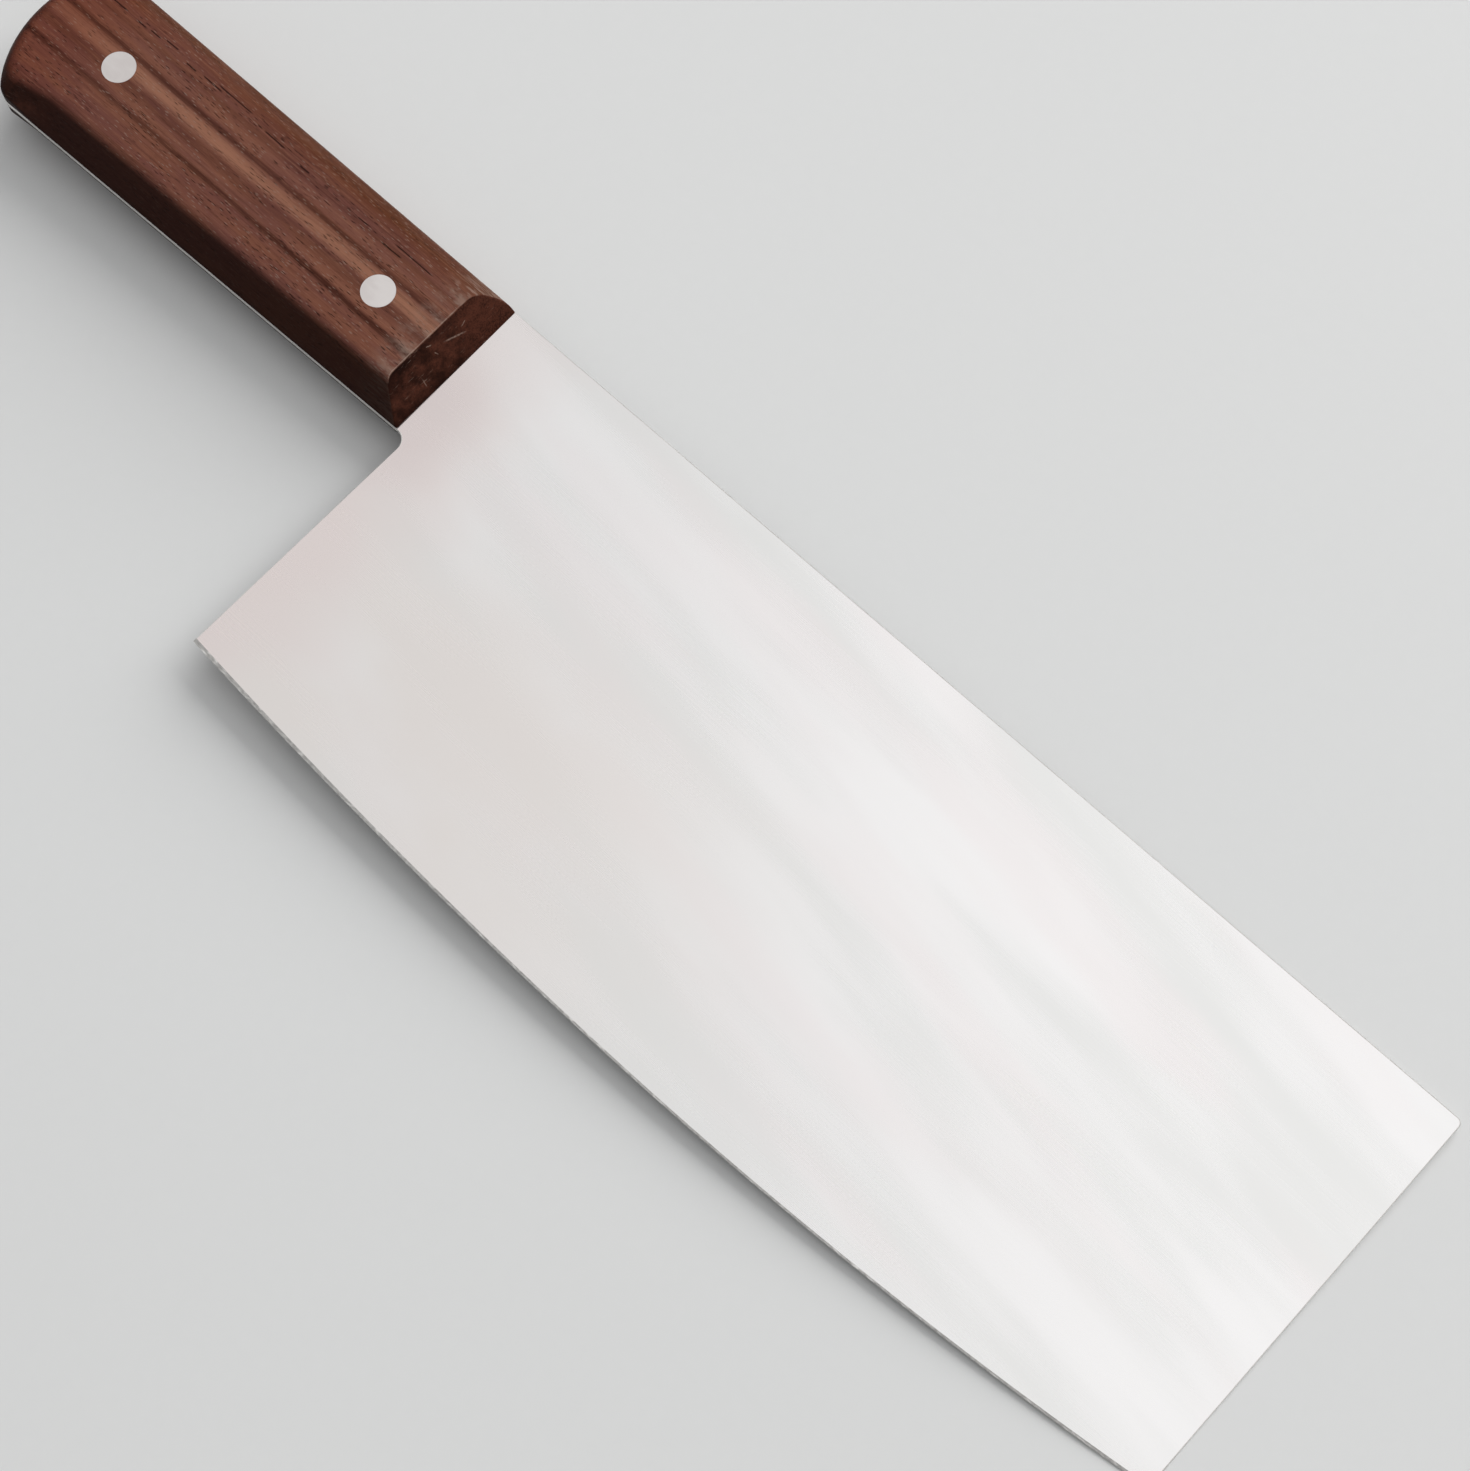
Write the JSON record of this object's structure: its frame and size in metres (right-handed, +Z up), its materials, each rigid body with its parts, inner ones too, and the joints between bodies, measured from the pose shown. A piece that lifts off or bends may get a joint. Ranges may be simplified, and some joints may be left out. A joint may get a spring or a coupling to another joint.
{
  "type": "chinese cleaver",
  "caption": "Broad, thin-bladed Chinese kitchen cleaver with a curved edge, full tang and riveted rosewood handle scales.",
  "frame": {"origin": "under the middle of the knife's bounding box, on the level of the lower scale's flat, as the knife lies on its side", "axes": "+X runs along the spine from the butt to the toe, +Y points from the cutting edge to the spine, and +Z is up, square to the blade's middle plane"},
  "size_m": [0.3314, 0.089, 0.015],
  "materials": {
    "blade_steel": "fine satin",
    "rosewood": "oiled, smooth sanded",
    "rivet_metal": "satin, ground flush"
  },
  "bodies": {
    "root": {"blade": "blade_steel", "upper_scale": "rosewood", "lower_scale": "rosewood", "front_rivet_pin": "rivet_metal", "front_rivet_socket": "rivet_metal", "butt_rivet_pin": "rivet_metal", "butt_rivet_socket": "rivet_metal"}
  },
  "joints": []
}
